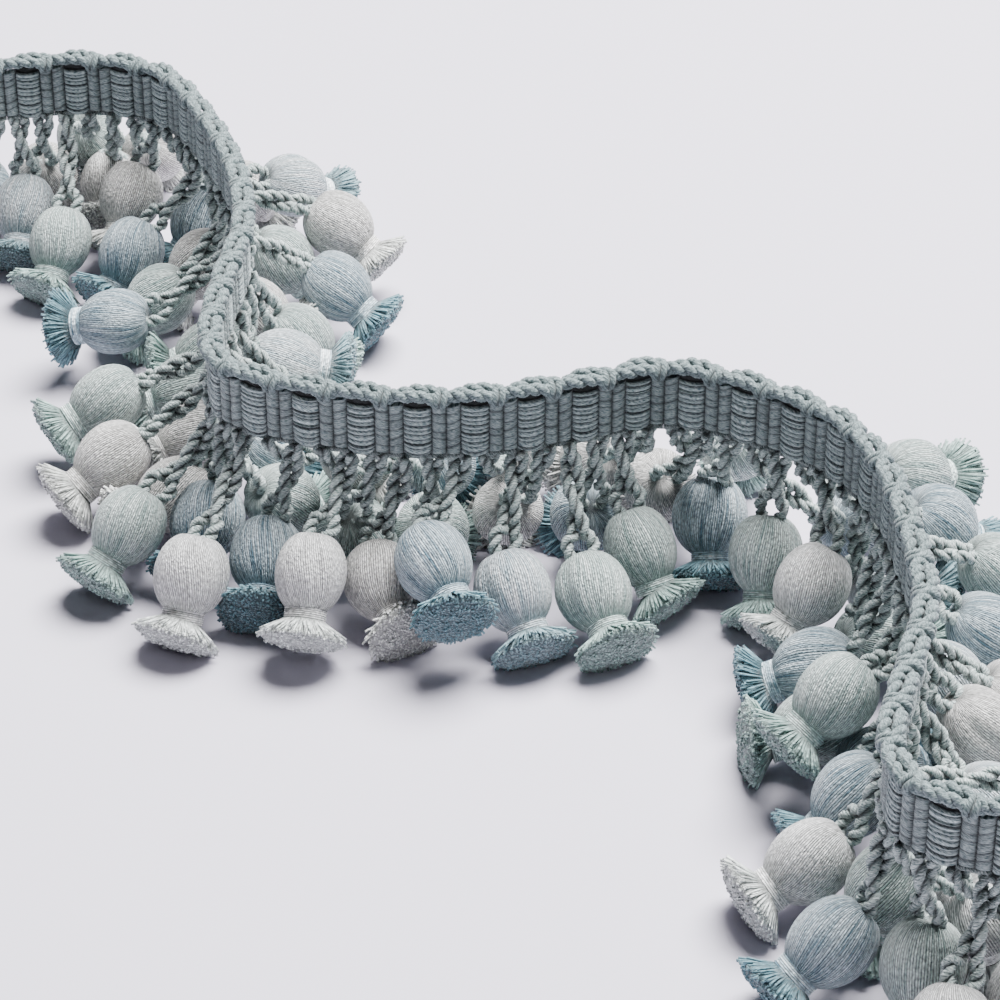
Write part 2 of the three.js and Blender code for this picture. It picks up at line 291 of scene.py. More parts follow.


# Wound ball yarn: fine combed cotton floss laid pole to pole, matte with a faint silky gleam, its threads
# a little lighter and darker by turns; painted shade between threads, painted glints on them, and
# painted shade between the cut ends of the skirt
ballYarn = {
    "threads": 96,  # threads around a ball, 0.5 mm each: the real 0.42 mm drawn coarser, to show
    "flecks": 0.13,  # lighter and darker lengths of a thread in a millimetre
    "bundles": (34, 0.07, 1),  # bundles of threads around a ball, and their lengths in a millimetre
    "bundleShare": 0.5,
    # Painted highlights on glints along the threads, and painted shade in the grooves between them
    "glints": (110, 1.2, 1),  # around a ball, and in a millimetre
    "gleam": (0.66, 1.42),  # lightness of the dullest and the brightest glint
    "groovePaintedShade": 0.36,  # between two threads
    "ridgeMap": (1, 0.004, 1),  # threads wander slowly along their length
    # Painted light on the cut ends of the skirt, and painted shade between them
    "endDots": 1800,  # cut ends in a metre, 0.56 mm each: coarser than the real ones, to show
    "paintedEndShading": 1.28,
    "endGapPaintedShade": {"white": 0.46, "cream": 0.44, "sage": 0.36, "pale": 0.28, "blue": 0.26},  # between ends
    "relief": {"Strength": 0.9, "Distance": 0.0004},
    "shader": {"Roughness": 0.6, "Sheen Weight": 0.25, "Sheen Roughness": 0.45, "Specular IOR Level": 0.35},
    "white": ("#c8c8c8", "#ffffff", "#d8dddb"),  # body and light of the threads, and the cut yarn
    "cream": ("#bebcb9", "#fcfaf8", "#dadcd9"),
    "sage": ("#8aa29f", "#e0ece9", "#98b1ac"),
    "pale": ("#9bb0ba", "#f2f6f9", "#829ea6"),
    "blue": ("#547586", "#d9e7ee", "#6e919c"),
}
cutSide = 0.5  # the mesh's skirt layer on the sides of cut yarn; the cut face has 1


def ballMaterial(shadeName):
    body, light, cut = (linear(c) for c in ballYarn[shadeName])
    threads = ballYarn["threads"]
    material, tree, yarnMap = startYarn(shadeName + " wound floss", ballYarn["shader"])

    # Threads with flecks along them, the bundles that they were laid in, and their painted glints
    lengthwise = addNode(tree, "ShaderNodeMapping", {0: yarnMap, "Scale": (threads, ballYarn["flecks"], 1)})
    chance = addNode(tree, "ShaderNodeTexNoise", {0: lengthwise, "Scale": 1.0, "Detail": 1.0})
    slow = addNode(tree, "ShaderNodeMapping", {0: yarnMap, "Scale": ballYarn["ridgeMap"]})
    ridges = addNode(tree, "ShaderNodeTexWave", {
        0: slow, "Scale": threads * waveUnit, "Distortion": 1.6, "Detail": 1.0, "Detail Scale": 1.0},
        wave_type="BANDS", bands_direction="X")
    bundle = addNode(tree, "ShaderNodeMapping", {0: yarnMap, "Scale": ballYarn["bundles"]})
    streaks = addNode(tree, "ShaderNodeTexNoise", {0: bundle, "Scale": 1.0, "Detail": 3.0})
    fine = addNode(tree, "ShaderNodeMapping", {0: yarnMap, "Scale": ballYarn["glints"]})
    glints = addNode(tree, "ShaderNodeTexNoise", {0: fine, "Scale": 1.0, "Detail": 1.0})
    mixed = addNode(tree, "ShaderNodeMath", {
        0: streaks, 1: ballYarn["bundleShare"], 2: chance}, operation="MULTIPLY_ADD")
    share = addNode(tree, "ShaderNodeMapRange", {0: mixed, "From Min": 0.52, "From Max": 0.98})
    yarn = addNode(tree, "ShaderNodeMix", {0: share, 6: body, 7: light}, data_type="RGBA")

    # Cut yarn of the skirt, with a dot for each end: painted light on the ends and painted shade between
    # them
    cutShare = addNode(tree, "ShaderNodeAttribute", attribute_name="skirt").outputs["Fac"]
    isSkirt = addNode(tree, "ShaderNodeMapRange", {0: cutShare, "From Min": 0.0, "From Max": cutSide})
    isEnd = addNode(tree, "ShaderNodeMapRange", {0: cutShare, "From Min": 0.6, "From Max": 0.9})
    dyed = addNode(tree, "ShaderNodeMix", {0: isSkirt, 6: yarn.outputs[2], 7: cut}, data_type="RGBA")
    place = addNode(tree, "ShaderNodeTexCoord").outputs["Object"]
    dots = addNode(tree, "ShaderNodeTexVoronoi", {0: place, "Scale": ballYarn["endDots"]})
    paintedDotShading = addNode(tree, "ShaderNodeMapRange", {
        0: dots.outputs["Distance"], "From Min": 0.15, "From Max": 0.62,
        "To Min": ballYarn["paintedEndShading"], "To Max": ballYarn["endGapPaintedShade"][shadeName]})
    paintedEndShading = addNode(tree, "ShaderNodeMix", {0: isEnd, 2: 1.0, 3: paintedDotShading})

    # Painted shade in dark lines between the threads and painted highlights in bright glints on them, but
    # not on the cut ends
    groove = addNode(tree, "ShaderNodeMapRange", {
        0: ridges.outputs["Fac"], "From Min": 0.0, "From Max": 0.65,
        "To Min": ballYarn["groovePaintedShade"], "To Max": 1.0})
    gleam = addNode(tree, "ShaderNodeMapRange", {
        0: glints, "From Min": 0.34, "From Max": 0.66,
        "To Min": ballYarn["gleam"][0], "To Max": ballYarn["gleam"][1]})
    depth = addNode(tree, "ShaderNodeMath", {0: groove, 1: gleam}, operation="MULTIPLY")
    laid = addNode(tree, "ShaderNodeMix", {0: isEnd, 2: depth, 3: 1.0})
    dim = addNode(tree, "ShaderNodeMath", {0: laid, 1: paintedEndShading}, operation="MULTIPLY")
    height = addNode(tree, "ShaderNodeMath", {0: laid, 1: paintedEndShading}, operation="ADD")
    finishYarn(tree, dyed, dim, height, ballYarn["relief"])
    return material


# Plied cotton cord: soft, matte duck-egg plies, each of slanting yarns with dark lines of painted shade
# between them. Each row gives body and light, yarns around a ply, their turns in a millimetre, the
# lightness of the painted shade between them, and the fibres across and along a yarn
plyYarn = {
    "cord": ("#4e5f61", "#8f9d9f", 4, 1.3, 0.84, (3.2, 2.2, 1)),
    "loop": ("#6f8583", "#dce6e5", 4, -1.3, 0.84, (3.2, 2.2, 1)),
    "weave": ("#5a6f72", "#c6d3d2", 2, 0.3, 0.93, (4.6, 1.1, 1)),
    "ridge": 2.5,  # height of a yarn over that of its fibres
    "ridgeMap": (1, 0.1, 1),
    "relief": {"Strength": 0.8, "Distance": 0.0003},
    "shader": {"Roughness": 0.68, "Sheen Weight": 0.2, "Sheen Roughness": 0.5, "Specular IOR Level": 0.3},
}


def plyMaterial(name, use):
    body, light, yarns, slant, deepest, fibreScale = plyYarn[use]
    material, tree, yarnMap = startYarn(name, plyYarn["shader"])
    axes = addNode(tree, "ShaderNodeSeparateXYZ", {0: yarnMap})
    around = addNode(tree, "ShaderNodeMath", {0: axes.outputs[0], 1: yarns}, operation="MULTIPLY")
    slid = addNode(tree, "ShaderNodeMath", {
        0: axes.outputs[1], 1: slant, 2: around}, operation="MULTIPLY_ADD")
    lean = addNode(tree, "ShaderNodeCombineXYZ", {0: slid, 1: axes.outputs[1]})
    slow = addNode(tree, "ShaderNodeMapping", {0: lean, "Scale": plyYarn["ridgeMap"]})
    ridges = addNode(tree, "ShaderNodeTexWave", {
        0: slow, "Scale": waveUnit, "Distortion": 1.2, "Detail": 1.0, "Detail Scale": 2.0},
        wave_type="BANDS", bands_direction="X")
    fine = addNode(tree, "ShaderNodeMapping", {0: lean, "Scale": fibreScale})
    fibres = addNode(tree, "ShaderNodeTexNoise", {0: fine, "Scale": 1.0, "Detail": 3.0})
    share = addNode(tree, "ShaderNodeMapRange", {0: fibres, "From Min": 0.38, "From Max": 0.62})
    yarn = addNode(tree, "ShaderNodeMix", {0: share, 6: linear(body), 7: linear(light)}, data_type="RGBA")
    # Painted shade in the grooves between yarns
    groove = addNode(tree, "ShaderNodeMapRange", {
        0: ridges.outputs["Fac"], "From Min": 0.0, "From Max": 0.6, "To Min": deepest, "To Max": 1.0})
    ridgeHigh = plyYarn["ridge"] * (1 - deepest)
    height = addNode(tree, "ShaderNodeMath", {
        0: ridges.outputs["Fac"], 1: ridgeHigh, 2: fibres}, operation="MULTIPLY_ADD")
    finishYarn(tree, yarn, groove, height, plyYarn["relief"])
    return material


shadeMaterials = {shade: ballMaterial(shade) for shade in ("white", "cream", "sage", "pale", "blue")}
cordMaterial = plyMaterial("duck-egg plied cord", "cord")
loopMaterial = plyMaterial("duck-egg plied loop", "loop")
weaveMaterial = plyMaterial("duck-egg woven heading", "weave")
print("yarn materials mixed")

# Heading: ladders of floating yarns between pairs of stitched ribs, the same on both faces
heading = {
    "foot": 36.0,
    "high": 11.5,
    "ladderHalf": 0.245,  # half of a ladder's share of a repeat
    "ribMiddles": (0.1275, 0.8725),
    "ribHalf": 0.1275,
    "yarns": 12,  # floating yarns in a ladder, and two for every stitch of a rib
    "rowsPerYarn": 4,
    "columns": (
        0.0, 0.03, 0.075, 0.1275, 0.18, 0.225, 0.255, 0.27, 0.32, 0.405, 0.5, 0.595, 0.68, 0.73, 0.745,
        0.775, 0.82, 0.8725, 0.925, 0.97),
    "core": 0.3,  # half of the thickness in the deepest groove
    "edge": 0.12,  # half of the thickness at the very foot
    "footRound": 0.9,  # height over which the foot is rounded
    "ladderSwell": 0.8,
    "ladderTaper": 0.3,  # how much thinner a ladder is at its sides
    "yarnRound": 0.44,
    "pairGaps": (0.0, 0.4),  # depth of the gaps inside a pair of yarns, and between pairs
    "wideGaps": (0.5, 1.0),
    "gapDeep": 0.3,
    "drift": 0.11,  # wander of a floating yarn's height
    "stretch": 1.05,  # height of a ladder over that of the ribs, and how far it starts below them
    "lower": 0.25,
    "smile": 0.55,  # how far a floating yarn's ends bend up
    "sag": 0.6,  # how far a ladder's foot hangs below the ribs
    "sagUpTo": 5.0,
    "tilt": 0.1,
    "slitFrom": 11,  # yarns below the dark slit under the cord, over every ladder
    "slitThick": 0.2,
    "slitWeb": (0.1, 0.9),  # height of the web in a slit with light coming through, and in others
    "slitOpen": 0.3,  # half of the opening, as a share of half a ladder
    "openSlits": 0.4,  # share of the slits with light coming through
    "ribSwell": 0.85,
    "ribDrift": 0.12,
    "lean": 0.35,  # slope of the stitches across a rib
    "leanFrom": 1.5,
    "stitchDeep": 0.24,
    "stitchLean": 0.1,
    "stitchLoose": (0.25, 0.12),  # how far stitches stray, by rib and by stitch
    "stitchWander": (1.9, 6),  # radians of that for each yarn, and for the rib's own chance
    # Painted shade of the face: in the gaps between yarns, on their flanks, in the slit under the cord, at
    # a ladder's sides, and at a rib's sides and seams
    "groovePaintedShade": 0.42,
    "yarnLight": 1.2,
    "flankPaintedShade": 0.8,
    "slitPaintedShade": 0.97,
    "sidePaintedShade": 0.5,
    "ribPaintedShadeAndTone": (0.12, 0.8),  # at a rib's side, and more in its middle
    "seamPaintedShade": (0.2, 0.72),  # between stitches, and more on them
    "seamWide": 0.5,
    "stitchLight": (0.78, 1.08),  # darkest and lightest stitch
}


# Height, half of the thickness and lightness of the heading's face, by repeat, share and row. The
# lightness is painted shade in the gaps between yarns, on their flanks, in the slit under the cord, at
# a ladder's sides and at a rib's sides and seams, times a random lightness for each stitch of a rib
def headingRelief(repeat, share, row):
    perYarn = (run["repeats"], heading["yarns"] + 1)
    wobble = dice.normal(size=(run["repeats"], 3))
    gaps = dice.uniform(*heading["pairGaps"], size=perYarn)
    paired = (np.arange(heading["yarns"] + 1) + dice.integers(0, 2, (run["repeats"], 1))) % 2 == 0
    gaps = np.where(paired, dice.uniform(*heading["wideGaps"], size=perYarn), gaps)
    drift = dice.normal(size=perYarn) * heading["drift"]
    yarn = row / heading["rowsPerYarn"]
    groove = np.round(yarn).astype(int)
    inGroove = np.abs(yarn - groove) < slack
    bulge = np.sqrt(np.clip(1 - (2 * (yarn % 1) - 1) ** 2, 0, 1))
    height = np.broadcast_to(yarn * heading["high"] / heading["yarns"], (len(repeat), row.shape[1]))

    ladderX = (share - 0.5) / heading["ladderHalf"]
    inLadder = np.abs(ladderX) < 1 - slack
    span = np.clip(np.abs(ladderX), 0, 1)
    gap = np.where(inGroove, gaps[repeat, groove], 0)
    onFlank = np.abs(np.abs(yarn - groove) - 1 / heading["rowsPerYarn"]) < slack
    near = np.where(onFlank, gaps[repeat, groove], 0)
    lit = (dice.random(run["repeats"]) < heading["openSlits"])[repeat]
    taper = 1 - heading["ladderTaper"] * span ** 4
    rounding = 1 - heading["yarnRound"] * (1 - bulge) - heading["gapDeep"] * gap
    ladder = heading["core"] + heading["ladderSwell"] * taper * rounding
    ladderHeight = heading["stretch"] * height - heading["lower"] + drift[repeat, groove]
    ladderHeight = ladderHeight + heading["smile"] * span ** 2.5
    hangs = 1 - smooth(0, heading["sagUpTo"], height)
    ladderHeight = ladderHeight - heading["sag"] * (1 - span ** 2) * hangs
    ladderHeight = ladderHeight + heading["tilt"] * wobble[repeat, 0] * ladderX
    underCord = np.where(yarn > heading["slitFrom"] - slack, 1.0, 0.0)
    ladder = ladder * (1 - underCord) + heading["slitThick"] * underCord
    web = np.where(lit & (span < heading["slitOpen"]), *heading["slitWeb"])
    ladderHeight = ladderHeight + underCord * web * (yarn - heading["slitFrom"])

    side = np.where(share < 0.5, 0, 1)
    ribX = (share - np.array(heading["ribMiddles"])[side]) / heading["ribHalf"]
    ribRound = np.sqrt(np.clip(1 - ribX ** 2, 0, 1))
    looseRib, looseStitch = heading["stitchLoose"]
    perStitch, perRib = heading["stitchWander"]
    loose = looseRib * wobble[repeat, 1 + side]
    loose = loose + looseStitch * np.sin(perStitch * yarn + perRib * wobble[repeat, side])
    lump = np.abs(np.sin(math.pi * (yarn / 2 + loose - heading["stitchLean"] * ribX)))
    stitched = 1 - heading["stitchDeep"] * (1 - lump)
    rib = heading["core"] + heading["ribSwell"] * ribRound * stitched
    slope = heading["lean"] * smooth(0, heading["leanFrom"], height)
    ribHeight = height + slope * ribX * (1 - 2 * side) + heading["ribDrift"] * wobble[repeat, 1 + side]

    half = np.where(inLadder, ladder, rib)
    footRise = np.clip(height / heading["footRound"], 0, 1)
    footRound = np.sqrt(np.clip(1 - (1 - footRise) ** 2, 0, 1))
    half = heading["edge"] + (half - heading["edge"]) * footRound
    # Painted shade: darker in the gaps, on the flanks beside them, in the slit under the cord and at a
    # ladder's sides; the web in the slit is painted nearly black
    groovePaintedShade = heading["groovePaintedShade"] * (1 - gap)
    yarnLight = heading["yarnLight"] - heading["flankPaintedShade"] * near ** 2
    ladderPaintedShade = np.where(inGroove, groovePaintedShade, yarnLight)
    ladderPaintedShade = ladderPaintedShade * (1 - heading["slitPaintedShade"] * underCord) * (1 - heading["sidePaintedShade"] * span ** 6)
    stitch = dice.uniform(*heading["stitchLight"], size=(run["repeats"], 2, heading["yarns"] + 1))
    # Painted shade at a rib's sides and between its stitches, times a random lightness for each stitch
    ribPaintedShadeAndTone = heading["ribPaintedShadeAndTone"][0] + heading["ribPaintedShadeAndTone"][1] * ribRound
    seamPaintedShade = heading["seamPaintedShade"][0] + heading["seamPaintedShade"][1] * smooth(0.0, heading["seamWide"], lump)
    ribPaintedShadeAndTone = ribPaintedShadeAndTone * seamPaintedShade * stitch[repeat, side, yarn.astype(int) // 2]
    return np.where(inLadder, ladderHeight, ribHeight), half, np.where(inLadder, ladderPaintedShade, ribPaintedShadeAndTone)


def buildHeading():
    columns = np.array(heading["columns"])
    share = np.append(np.tile(columns, run["repeats"]), 0.0)
    repeat = np.append(np.repeat(np.arange(run["repeats"]), len(columns)), run["repeats"] - 1)
    lengths = np.append(repeat[:-1] + share[:-1], run["repeats"]) * pitch
    at, _, front = station(lengths)
    row = np.arange(heading["yarns"] * heading["rowsPerYarn"] + 1)
    height, half, light = headingRelief(repeat[:, None], share[:, None], row[None])
    faces = []
    for side, order in ((1, -1), (-1, 1)):
        face = at[:, None] + side * half[..., None] * front[:, None]
        face = face + (heading["foot"] + height)[..., None] * up
        faces.append(face[:, ::order])
    points = np.concatenate(faces, axis=1)
    # The face's painted shade, the same on both sides
    paintedShadeAndTone = np.concatenate([light[:, ::-1], light], axis=1)
    yarn = row / heading["rowsPerYarn"]
    around = np.concatenate([yarn[::-1], yarn, yarn[-1:]])
    uv = yarnUv(points.shape[:1], points.shape[1], around, lengths[:, None])
    part = tubeFaces(points[None], uv[None], paintedShadeAndTone[None])
    piece = makePiece("heading_weave", [part], [weaveMaterial])
    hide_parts("heading")


buildHeading()
print("heading woven")

# Edge cord: two plied cords, side by side over each ladder and crossing at the ribs, where two yarns
# wrap them. Each painted shade gives the least lightness, and the distances between which it clears
edgeCord = {
    "middle": 49.5,
    "arch": 0.5,
    "aside": 1.32,  # half of the way between the cords over a ladder
    "over": 0.75,  # how far the crossing cord rises
    "under": 0.45,
    "haste": 0.6,  # how much faster the cords turn at the ribs than on average
    "uneven": 0.2,  # wander of the plies' turn, in radians
    "plies": 2,
    "layLength": 5.4,  # one turn of a ply, leaning down to the right
    "layRadius": 0.5,
    "plyRadius": 0.89,
    "sides": 8,
    "rowsPerRepeat": 26,
    "firstTurns": (0.0, 1.3),  # turn of each cord's plies at the left end, in radians
    # Painted shade in the grooves between plies, where the cords touch, between the wrap's yarns and at the
    # wrap's ends
    "plyPaintedShade": (0.25, 0.6, 1.2),  # by distance from the cord's middle
    "pairPaintedShade": (0.5, 1.15, 1.75),  # by distance from the other cord
    "wrapAt": 0.8725,  # share of a repeat, over the second of its ribs
    "wrapMiddle": 48.7,
    "wrapWide": 2.1,
    "wrapHigh": 1.45,
    "wrapLean": 0.6,  # how far a wrap's top leans to the right
    "wrapTurn": (-78, 258),  # degrees around the cords; both ends lie inside the rib
    "wrapApart": 0.68,  # half of the way between a wrap's two yarns
    "wrapRadius": 0.74,
    "wrapRows": 15,
    "wrapSides": 6,
    "wrapPaintedShade": (0.4, 0.0, 0.6),  # by distance from the line between the two yarns
    "wrapEndPaintedShade": (0.5, -0.9, -0.3),  # by height
}


# Two yarns that wrap the cords over one rib of every repeat
def wrapPart():
    at, along, front = station((np.arange(run["repeats"]) + edgeCord["wrapAt"]) * pitch)
    turn = np.radians(np.linspace(*edgeCord["wrapTurn"], edgeCord["wrapRows"]))
    out = edgeCord["wrapWide"] * np.cos(turn)[:, None] * front[:, None]
    rise = (edgeCord["wrapMiddle"] + edgeCord["wrapHigh"] * np.sin(turn))[:, None] * up
    lean = edgeCord["wrapLean"] * np.maximum(np.sin(turn), 0)[:, None] * along[:, None]
    middles = np.tile(at[:, None] + out + rise + lean, (2, 1, 1))
    aside = np.tile(along[:, None], (2, 1, 1)) * np.repeat([-1.0, 1.0], run["repeats"])[:, None, None]
    lines = middles + edgeCord["wrapApart"] * aside
    aside = np.broadcast_to(aside, lines.shape)
    rings = ringsAround(lines, aside, edgeCord["wrapRadius"], edgeCord["wrapSides"])
    apart = np.sum((rings - middles[:, :, None]) * aside[:, :, None], axis=-1)
    # Painted shade between the wrap's two yarns, and at their ends beside the rib
    paintedShadeAndTone = clearing(*edgeCord["wrapPaintedShade"], apart) * clearing(*edgeCord["wrapEndPaintedShade"], np.sin(turn))[:, None]
    around = np.linspace(0, 1, edgeCord["wrapSides"] + 1)
    uv = yarnUv(rings.shape[:2], edgeCord["wrapSides"], around, walked(lines)[..., None])
    return tubeFaces(rings, uv, paintedShadeAndTone)


def buildEdgeCord():
    lengths = np.linspace(0, trimLength, run["repeats"] * edgeCord["rowsPerRepeat"] + 1)
    at, _, front = station(lengths)
    turns = lengths / pitch
    arch = -edgeCord["arch"] * np.cos(fullTurn * turns)
    crossing = math.pi * (0.5 - turns) - 0.5 * edgeCord["haste"] * np.sin(fullTurn * turns)
    lines = []
    for angle in (crossing, crossing + math.pi):
        rise = np.sin(angle)
        rise = rise * np.where(rise > 0, edgeCord["over"], edgeCord["under"])
        line = at + edgeCord["aside"] * np.cos(angle)[:, None] * front
        lines.append(line + (edgeCord["middle"] + arch + rise)[:, None] * up)
    parts = []
    for line, other, first in zip(lines, lines[::-1], edgeCord["firstTurns"]):
        rings, uv = layPlies(line, front, edgeCord, first)
        # Painted shade in the grooves between plies and where the two cords touch
        inPly = np.linalg.norm(rings - line[None, :, None], axis=-1)
        toOther = np.linalg.norm(rings - other[None, :, None], axis=-1)
        paintedShadeAndTone = clearing(*edgeCord["plyPaintedShade"], inPly) * clearing(*edgeCord["pairPaintedShade"], toOther)
        parts.append(tubeFaces(rings, uv, paintedShadeAndTone))
    parts.append(wrapPart())
    piece = makePiece("edge_cord_plies", parts, [cordMaterial])
    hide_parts("edge_cord")


buildEdgeCord()
print("edge cord laid")

# Tassels with a place of their own: root, middle of the ball, way of the skirt in plan, dip, shade
placed = {
    "front": [
        (0, -126, 174, 14, -100, 45, "white"), (1, -116, 185, 14, -95, 45, "pale"),
        (2, -104, 172, 13, -107, 42, "sage"), (4, -90, 185, 18, -110, 50, "cream"),
        (5, -74, 178, 18, -140, 50, "blue"), (6, -85, 167, 14, -130, 47, "blue"),
        (7, -71, 156, 17, -160, 50, "cream"), (8, -78, 143, 13, -165, 45, "sage"),
        (9, -87, 125, 12, 172, 12, "blue"), (13, -82, 96, 13, -156, 23, "sage"),
        (14, -78, 71, 14, -150, 30, "cream"), (16, -72, 47, 14, -135, 42, "sage"),
        (17, -61, 28, 16, -108, 52, "white"), (18, -47, 36, 12, -97, 36, "blue"),
        (19, -36, 27, 17, -100, 48, "white"), (20, -24, 29, 10, -65, 28, "cream"),
        (21, -18, 29, 18, -65, 28, "blue"), (22, 2, 23, 15, -63, 42, "pale"),
        (23, 17, 25, 13, -67, 32, "sage"), (24, 29, 42, 14, -58, 50, "sage"),
        (26, 42, 50, 12, -87, 55, "blue"), (27, 53, 37, 14, -95, 55, "sage"),
        (28, 63, 22, 17, -140, 50, "white"), (31, 63, 0, 13, 178, 25, "blue"),
        (32, 62, -14, 10, -170, 15, "sage"), (33, 66, -27, 20, -150, 38, "sage"),
        (35, 66, -42, 15, -160, 50, "blue"), (36, 58, -59, 13, -160, 30, "white"),
        (37, 71, -68, 18, -150, 60, "sage"), (38, 61, -84, 15, -155, 35, "blue"),
        (39, 73, -88, 15, -110, 60, "sage"), (40, 75, -104, 14, -105, 45, "white"),
        (41, 89, -99, 14, -95, 50, "white"),
    ],
    "back": [
        (1, -109, 203, 14, 90, 50, "cream"), (5, -50, 186, 22, 30, 30, "pale"),
        (6, -41, 166, 20, -20, 40, "cream"), (7, -50, 162, 17, 10, 50, "sage"),
        (8, -41, 143, 14, -26, 38, "blue"), (10, -46, 124, 14, 0, 50, "sage"),
        (11, -51, 107, 16, 2, 12, "pale"), (16, -57, 55, 11, -110, 40, "blue"),
        (19, -28, 46, 14, 80, 50, "sage"), (20, -11, 48, 14, 85, 45, "sage"),
        (22, 4, 52, 14, 95, 45, "cream"), (23, 14, 52, 14, 100, 45, "blue"),
        (24, 20, 67, 14, 110, 40, "cream"), (25, 34, 62, 14, 90, 45, "cream"),
        (27, 85, 53, 22, 35, 25, "sage"), (28, 88, 40, 20, 20, 40, "blue"), (29, 97, 27, 16, 0, 40, "sage"),
        (30, 94, 4, 15, 0, 40, "blue"), (32, 96, -16, 15, 0, 40, "cream"),
        (33, 84, -31, 18, -10, 55, "cream"), (34, 88, -43, 15, 0, 45, "pale"),
    ],
}
# Tassels tucked under the heading or behind the others, which give way to those above
tucked = {
    "front": [
        (3, -97, 195, 10, -95, 30, "cream"), (10, -66, 112, 10, -170, 20, "sage"),
        (11, -67, 99, 10, -170, 20, "sage"), (12, -67, 83, 10, -160, 20, "cream"),
        (15, -64, 66, 9, -150, 20, "cream"), (25, 48, 62, 12, 80, 45, "sage"),
        (29, 79, 26, 10, 10, 20, "pale"), (30, 74, 10, 10, 20, 20, "sage"),
        (34, 74, -33, 9, 20, 15, "blue"),
    ],
    "back": [
        (3, -93, 212, 14, 80, 45, "cream"), (12, -42, 90, 13, 10, 45, "sage"),
        (13, -43, 73, 13, 20, 45, "white"), (14, -50, 64, 21, 40, 50, "blue"),
        (15, -44, 57, 12, 45, 40, "sage"), (17, -38, 48, 21, 70, 50, "cream"),
        (18, -18, 58, 13, 80, 45, "blue"), (21, -6, 62, 13, 90, 45, "white"),
        (26, 71, 42, 10, 60, 20, "blue"), (35, 83, -57, 23, 5, 75, "cream"),
        (36, 96, -54, 14, 10, 60, "sage"), (37, 87, -65, 14, 10, 75, "blue"),
        (38, 82, -75, 23, 20, 75, "white"), (39, 93, -80, 14, 40, 75, "sage"),
        (40, 105, -76, 14, 60, 60, "cream"), (41, 114, -88, 14, 30, 60, "blue"),
    ],
}

# How the tassels hang and settle against each other, as in the part's source
hanging = {
    "rootShares": {"front": 0.25, "back": 0.75},
    "rootHeight": 34.8,
    "loopDrop": 7.0,
    "loopReach": (10.0, 29.0),
    "ballTop": -7.6,
    "lanes": ((8, 12, 45), (19, 13, 40), (13, 22, 50)),  # out, lift and dip of tassels without a place
    "laneShades": ("sage", "blue", "white", "pale", "cream"),
    "bodySpheres": ((0.0, 8.15), (11.4, 7.8)),  # along, radius
    "loopSpheres": ((0.35, 1.9), (0.6, 2.8), (0.85, 2.9)),  # share, radius
    "rounds": 600,
    "push": 0.35,  # share of an overlap that is cleared in a round
    "home": 0.004,  # share of the way home that is taken back
    "sag": 0.03,
    "placedYields": 0.2,  # how much a tassel with a place gives way, where others give way by 1
    "highestLift": 24.0,
    "lowestLift": 8.3,
    "rim": (7.4, 13.8, -1.8),  # radius, along, deepest
}


def hangTassels():
    rows = {}
    for rowTable, yields in ((tucked, 1.0), (placed, hanging["placedYields"])):
        for side in rowTable:
            rows.update({(side, row[0]): (row[1:], yields) for row in rowTable[side]})
    tassels = []
    for index in range(run["repeats"]):
        for side in ("front", "back"):
            length = (index + hanging["rootShares"][side]) * pitch
            at, along, front = (v[0] for v in station(np.array([length])))
            outward = front if side == "front" else -front
            row, yields = rows.get((side, index), (None, 1.0))
            if row:
                ball = np.array(row[:3], float)
                ball[:2] -= run["planMiddle"]
                points = math.radians(row[3])
                dip, shade = row[4:]
            else:
                out, lift, dip = hanging["lanes"][index % len(hanging["lanes"])]
                ball = at + outward * out + up * lift
                points = math.atan2(outward[1], outward[0])
                turn = index * 2 + (side == "back")
                shade = hanging["laneShades"][turn % len(hanging["laneShades"])]
            level = math.cos(math.radians(dip))
            axis = (level * math.cos(points), level * math.sin(points), -math.sin(math.radians(dip)))
            tassels.append({
                "name": f"tassel_{index + 1:02d}_{side}",
                "node": f"tassel_pair_{index + 1:02d}",
                "index": index,
                "side": side,
                "shade": shade,
                "root": at + hanging["rootHeight"] * up,
                "along": along,
                "ball": ball,
                "axis": np.array(axis),
                "yields": yields,
            })
    return tassels


# Points of a loop as it falls from its root to the ball
def fallPoint(share, root, bend, end):
    return (1 - share) ** 2 * root + 2 * share * (1 - share) * bend + share * share * end


